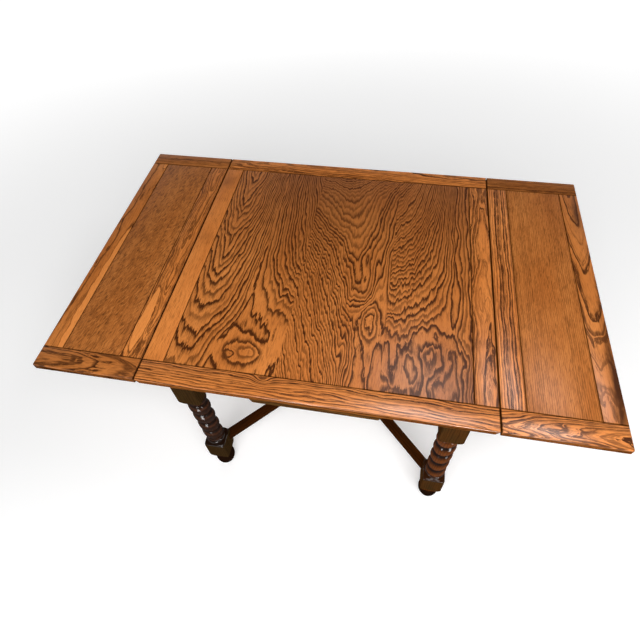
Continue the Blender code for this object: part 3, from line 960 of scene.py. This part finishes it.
def leg_tree(settings):
    """Nodes that turn a leg: the widest of its turned forms at each height, cut to its square blocks."""
    tree = bpy.data.node_groups.new("turned_leg", "GeometryNodeTree")
    sizes = number_properties(settings)
    for name, kind in (*((prop.name, "Float") for prop in sizes), *LEG_INPUTS):
        tree.interface.new_socket(name, in_out="INPUT", socket_type="NodeSocket" + kind)
    tree.interface.new_socket("Leg", in_out="OUTPUT", socket_type="NodeSocketGeometry")
    bench = Flow(tree)
    source = tree.nodes.new("NodeGroupInput")
    size = {prop.identifier: Flow(tree, source.outputs[prop.name]) for prop in sizes}
    height, hand, place, material = (Flow(tree, source.outputs[name]) for name, _ in LEG_INPUTS)
    post = bench.node(
        "GeometryNodeMeshCylinder",
        {"Vertices": LEG_SIDES, "Side Segments": LEG_ROWS, "Radius": size["block"], "Depth": height},
    )
    spot = bench.node("GeometryNodeInputPosition")
    x, y, z = (bench.node("ShaderNodeSeparateXYZ", {0: spot}, output=axis) for axis in "XYZ")
    z = z + height / 2.0
    angle = bench.math("ARCTAN2", y, x)
    corner = size["block"] * (math.sqrt(0.5) * LEG_EASE)
    square = size["block"] / 2.0 / most(abs(cosine(angle)), abs(sine(angle)))

    def block(deep):
        curve = most(1.0 - deep / size["shoulder"], 0.0)
        swell = root(1.0 - least(curve * curve, 1.0))
        return (size["shoulder_start"] + (corner - size["shoulder_start"]) * swell) * (deep > 0.0)

    base_rise = root(1.0 - (size["foot_base"] / size["foot_radius"]) ** 2.0)
    neck_rise = root(1.0 - (size["ankle"] / size["foot_radius"]) ** 2.0)
    reach = size["foot_height"] / (base_rise + neck_rise)
    foot_line = z / reach - base_rise
    foot = size["foot_radius"] * root(most(1.0 - foot_line * foot_line, 0.0)) * (z < size["foot_height"])
    block_start = size["foot_height"] + size["ankle_height"]
    ankle = size["ankle"] * (z > size["foot_height"]) * (z < block_start)
    block_end = block_start + size["shoulder"] * 2.0 + size["lower_block"]
    lower_block = block(least(z - block_start, block_end - z))
    collar_start = block_end + size["neck_height"]
    collar_line = (z - collar_start) / size["collar"] * 2.0 - 1.0
    collar_curve = most(1.0 - collar_line * collar_line, 0.0)
    collar = (size["neck"] + size["collar_bulge"] * root(collar_curve)) * (collar_curve > 0.0)
    twist_start = collar_start + size["collar"]
    twist_end = height - size["top_block"] - size["shoulder"] - size["neck_height"]
    fade = least(least((z - twist_start) / size["twist_fade"], (twist_end - z) / size["twist_fade"]), 1.0)
    phase = (z - twist_start) / size["twist_pitch"] * math.pi - hand * angle / 2.0
    wave = sine(phase)
    crest = root(wave * wave * (1.0 - GROOVE_ROUNDING) + GROOVE_ROUNDING)
    rope = size["twist_radius"] - size["twist_depth"] * (1.0 - crest)
    shaft = (size["neck"] + (rope - size["neck"]) * most(fade, 0.0)) * (z > block_end)
    upper_block = block(z - twist_end - size["neck_height"])
    turned = most(most(most(foot, ankle), most(lower_block, collar)), most(shaft, upper_block))
    radius = least(turned, square)
    ring_place = {"X": radius * cosine(angle), "Y": radius * sine(angle), "Z": z}
    point = bench.node("ShaderNodeCombineXYZ", ring_place)
    moved = bench.node("ShaderNodeVectorMath", {0: point, 1: place}, operation="ADD")
    proud = most((crest - 1.0) * most(fade, 0.0) + 1.0, 0.0)
    flat = least(z - block_start, block_end - z) > size["shoulder"] * 0.6
    boxy = most(flat, z > twist_end + size["neck_height"] + size["shoulder"] * 0.3)
    marked = post
    for name, mark in (("proud", proud), ("boxy", boxy)):
        sockets = {"Geometry": marked, "Name": name, "Value": mark}
        marked = bench.node("GeometryNodeStoreNamedAttribute", sockets, data_type="FLOAT")
    shaped = bench.node("GeometryNodeSetPosition", {"Geometry": marked, "Position": moved})
    real = bench.node("GeometryNodeRealizeInstances", {"Geometry": shaped})
    dressed = bench.node("GeometryNodeSetMaterial", {"Geometry": real, "Material": material})
    target = tree.nodes.new("NodeGroupOutput")
    tree.links.new(dressed.socket, target.inputs["Leg"])
    return tree


def made_by(tree, name, values):
    """The plain mesh object that a tree makes from named input values."""
    seed_mesh = bpy.data.meshes.new(name + "_start")
    piece = bpy.data.objects.new(name, seed_mesh)
    bpy.context.scene.collection.objects.link(piece)
    modifier = piece.modifiers.new("nodes", "NODES")
    modifier.node_group = tree
    for item in tree.interface.items_tree:
        if item.item_type == "SOCKET" and item.in_out == "INPUT" and item.name in values:
            modifier[item.identifier] = values[item.name]
    graph = bpy.context.evaluated_depsgraph_get()
    mesh = bpy.data.meshes.new_from_object(piece.evaluated_get(graph), depsgraph=graph)
    mesh.name = name
    piece.modifiers.remove(modifier)
    piece.data = mesh
    bpy.data.meshes.remove(seed_mesh)
    return piece


# Heights between which the finish of a leg changes: below and above the collar ring, and over the foot
RING_BELOW, RING_ABOVE = (0.192, 0.197), (0.228, 0.233)
FOOT_DARK, FOOT_DULL = (0.06, 0.10), (0.08, 0.20)
LEG_ROUGHNESS, LEG_COAT_ROUGHNESS = 0.5, 0.13


def leg_oak(node, seed):
    """Dark polish of a leg: old wax in the grooves, dull square blocks, and on the right-hand legs amber
    crests and rims, painted light that makes them lit copies of the same polish.
    """
    finish = bpy.context.scene.oak_finish
    material, shader, bench = new_finish(node + "_oak", LEG_ROUGHNESS, LEG_COAT_ROUGHNESS)
    low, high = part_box(node)
    middle = (low + high) / 2
    x, y, z = object_axes(bench)
    point = (z, x - middle.x, y - middle.y)
    rings = sawn_rings(*point, LEG_CUT, seed)
    part = rings.math("FRACT", rings)
    line = smooth(part, 0.45, 0.85) * (1.0 - smooth(part, 0.9, 1.0))
    fibre = drift(point, FIBRE, seed)
    worn = smooth(drift(point, WORN, seed), -0.4, 0.9)
    proud = bench.node("ShaderNodeAttribute", output="Fac", attribute_name="proud")
    boxy = bench.node("ShaderNodeAttribute", output="Fac", attribute_name="boxy")
    ring = smooth(z, *RING_BELOW) * (1.0 - smooth(z, *RING_ABOVE))
    # Painted light: the right-hand legs are coloured as lit copies of the left-hand ones
    warm = node.endswith("right")
    rim = rgba(finish.amber, 0.6) if warm else rgba(finish.turned, 2.6)
    groove = rgba(finish.groove)
    # Lighter rims beside the grooves: partly worn wax, partly painted light where the flanks of the bulges
    # catch it
    colour = blend(smooth(proud, 0.30, 0.75), groove, rim)
    colour = blend(smooth(proud, 0.70, 0.90), colour, rgba(finish.amber if warm else finish.turned))
    colour = blend(ring * 0.8, colour, groove)
    colour = blend(boxy * (worn * 0.3 + 0.7), colour, rgba(finish.frame))
    colour = blend(1.0 - smooth(z, *FOOT_DARK), colour, rgba(finish.groove, 1.2))
    colour = blend(line * 0.4 + fibre * 0.12, colour, groove)
    relief = bench.node("ShaderNodeBump", {"Strength": 0.2, "Distance": 0.0005, "Height": fibre - line})
    polish = (1.0 - boxy) * smooth(z, *FOOT_DULL) * (worn * 0.04 + ring * 0.2 + 0.07)
    rough = boxy * 0.18 + worn * 0.1 + 0.3
    wire(shader, Base_Color=colour, Roughness=rough, Coat_Weight=polish, Normal=relief)
    return material


class EXTENDING_TABLE_OT_legs(bpy.types.Operator):
    """Turn the four twist legs"""

    bl_idname = "extending_table.legs"
    bl_label = "Twist Legs"

    def execute(self, context):
        settings = context.scene.leg_turning
        tree = leg_tree(settings)
        sizes = {prop.name: getattr(settings, prop.identifier) for prop in number_properties(settings)}
        for i, (side, hand) in enumerate((("left", -1.0), ("right", 1.0))):
            for j, depth in enumerate(("front", "back")):
                node = f"leg_{depth}_{side}"
                low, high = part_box(node)
                middle = (low + high) / 2
                values = dict(sizes, Height=high.z, Hand=hand, Place=(middle.x, middle.y, 0.0))
                values["Material"] = leg_oak(node, LEG_SEED + i * LEG_SIDE_STEP + j * LEG_DEPTH_STEP)
                piece = made_by(tree, node + "_finished", values)
                piece.data.shade_smooth()
                piece.data.set_sharp_from_angle(angle=SMOOTH_ANGLE)
                place_piece(piece, node)
        return {"FINISHED"}


# Stage: the camera that was fitted to the photo, how far the floor's glow grows, and where the sky changes
LENS = 27.53
SENSOR = 36.0
VIEW_PLACE = (0.1653, -0.9509, 1.8786)
VIEW_TURN = (39.157, 2.466, 9.802)
VIEW_SHIFT = -0.0656
FLOOR_HALF = 12.0
FLOOR_NEAR, FLOOR_FAR = 0.9, 4.2
FLOOR_ROUGHNESS = 0.8
LOW_SKY, HIGH_SKY = (0.04, 0.28), (0.1, 0.7)
WHITE = (1.0, 1.0, 1.0)


class Lamp(NamedTuple):
    """An area light. Its power is a property of the stage; some light only, and some are only mirrored."""

    name: str
    power: str
    place: tuple
    target: tuple
    size: tuple
    lighting: bool = True
    mirrored: bool = True


GLINT_SIZE = (0.22, 0.16)
LAMPS = (
    Lamp("key", "key", (0.35, -1.7, 2.6), (0.1, -0.2, 0.7), (2.0, 1.4)),
    Lamp("sheen", "sheen", (0.87, -0.05, 2.45), (0.50, -0.40, 0.762), (0.95, 0.3)),
    Lamp("gloss", "gloss", (0.88, -0.08, 2.45), (0.88, -0.42, 0.762), (1.1, 0.25), lighting=False),
    Lamp("glint_left", "glint", (-0.17, -1.04, 0.10), (-0.377, -0.377, 0.35), GLINT_SIZE, lighting=False),
    Lamp("glint_right", "glint", (0.72, -0.99, 0.10), (0.377, -0.377, 0.35), GLINT_SIZE, lighting=False),
    Lamp("fill", "fill", (-1.4, 6.4, 2.2), (0.0, 0.3, 0.5), (3.6, 2.0), mirrored=False),
)


def add_lamp(lamp, power):
    data = bpy.data.lights.new(lamp.name, "AREA")
    data.shape = "RECTANGLE"
    data.size, data.size_y = lamp.size
    data.energy = power
    light = bpy.data.objects.new(lamp.name, data)
    light.location = lamp.place
    light.rotation_euler = (Vector(lamp.target) - Vector(lamp.place)).to_track_quat("-Z", "Y").to_euler()
    light.visible_camera = False
    light.visible_diffuse = lamp.lighting
    light.visible_glossy = lamp.mirrored
    bpy.context.scene.collection.objects.link(light)


def add_floor(settings):
    """A pale floor that glows a little more with distance, so that it has no horizon."""
    corners = [(x * FLOOR_HALF, y * FLOOR_HALF, 0.0) for x, y in ((-1, -1), (1, -1), (1, 1), (-1, 1))]
    mesh = bpy.data.meshes.new("floor")
    mesh.from_pydata(corners, [], [(0, 1, 2, 3)])
    material, shader, bench = new_finish("floor_paint", FLOOR_ROUGHNESS)
    x, y, _ = object_axes(bench)
    far = smooth(root(x * x + y * y), FLOOR_NEAR, FLOOR_FAR)
    glow = blend(far, rgba(settings.floor, settings.glow), rgba(settings.floor, settings.far_glow))
    wire(shader, Emission_Color=glow)
    shader.inputs["Base Color"].default_value = rgba(settings.floor)
    shader.inputs["Emission Strength"].default_value = 1.0
    mesh.materials.append(material)
    floor = bpy.data.objects.new("floor", mesh)
    bpy.context.scene.collection.objects.link(floor)


def add_sky(settings):
    """A white sky, brightest low down and dim overhead."""
    world = bpy.data.worlds.new("studio")
    world.use_nodes = True
    sky = world.node_tree.nodes["Background"]
    bench = Flow(world.node_tree)
    way = bench.node("ShaderNodeTexCoord", output="Generated")
    rise = bench.node("ShaderNodeSeparateXYZ", {0: way}, output="Z")
    low_sky = blend(smooth(rise, *LOW_SKY), rgba(WHITE, settings.rim), rgba(WHITE))
    wire(sky, Color=blend(smooth(rise, *HIGH_SKY), low_sky, rgba(WHITE, settings.zenith)))
    sky.inputs["Strength"].default_value = settings.sky
    bpy.context.scene.world = world


def add_camera():
    data = bpy.data.cameras.new("camera")
    data.lens, data.sensor_width, data.shift_y = LENS, SENSOR, VIEW_SHIFT
    camera = bpy.data.objects.new("camera", data)
    camera.location = VIEW_PLACE
    camera.rotation_euler = [math.radians(turn) for turn in VIEW_TURN]
    bpy.context.scene.collection.objects.link(camera)
    bpy.context.scene.camera = camera


class EXTENDING_TABLE_OT_stage(bpy.types.Operator):
    """Set the floor, the studio light and the camera"""

    bl_idname = "extending_table.stage"
    bl_label = "Stage"

    def execute(self, context):
        settings = context.scene.stage_light
        add_floor(settings)
        add_sky(settings)
        for lamp in LAMPS:
            add_lamp(lamp, getattr(settings, lamp.power))
        add_camera()
        context.scene.view_settings.view_transform = "Standard"
        return {"FINISHED"}


class EXTENDING_TABLE_PT_finish(bpy.types.Panel):
    """Lists the steps that dress the table"""

    bl_idname = "EXTENDING_TABLE_PT_finish"
    bl_label = "Extending Table"
    bl_space_type = "VIEW_3D"
    bl_region_type = "UI"
    bl_category = "Table"

    def draw(self, context):
        for settings in (context.scene.oak_finish, context.scene.leg_turning, context.scene.stage_light):
            column = self.layout.column()
            for prop in number_properties(settings):
                column.prop(settings, prop.identifier)
        for step in STEPS:
            self.layout.operator(step.bl_idname)


GROUPS = {"oak_finish": OakFinish, "leg_turning": LegTurning, "stage_light": StageLight}
STEPS = (
    EXTENDING_TABLE_OT_top,
    EXTENDING_TABLE_OT_leaves,
    EXTENDING_TABLE_OT_frame,
    EXTENDING_TABLE_OT_legs,
    EXTENDING_TABLE_OT_stage,
)


def register():
    for kind in (*GROUPS.values(), *STEPS, EXTENDING_TABLE_PT_finish):
        bpy.utils.register_class(kind)
    for name, kind in GROUPS.items():
        setattr(bpy.types.Scene, name, bpy.props.PointerProperty(type=kind))


def unregister():
    for name in GROUPS:
        delattr(bpy.types.Scene, name)
    for kind in (EXTENDING_TABLE_PT_finish, *STEPS, *GROUPS.values()):
        bpy.utils.unregister_class(kind)


def main():
    register()
    bpy.ops.extending_table.top()
    bpy.ops.extending_table.leaves()
    bpy.ops.extending_table.frame()
    bpy.ops.extending_table.legs()
    bpy.ops.extending_table.stage()


if __name__ == "__main__":
    main()
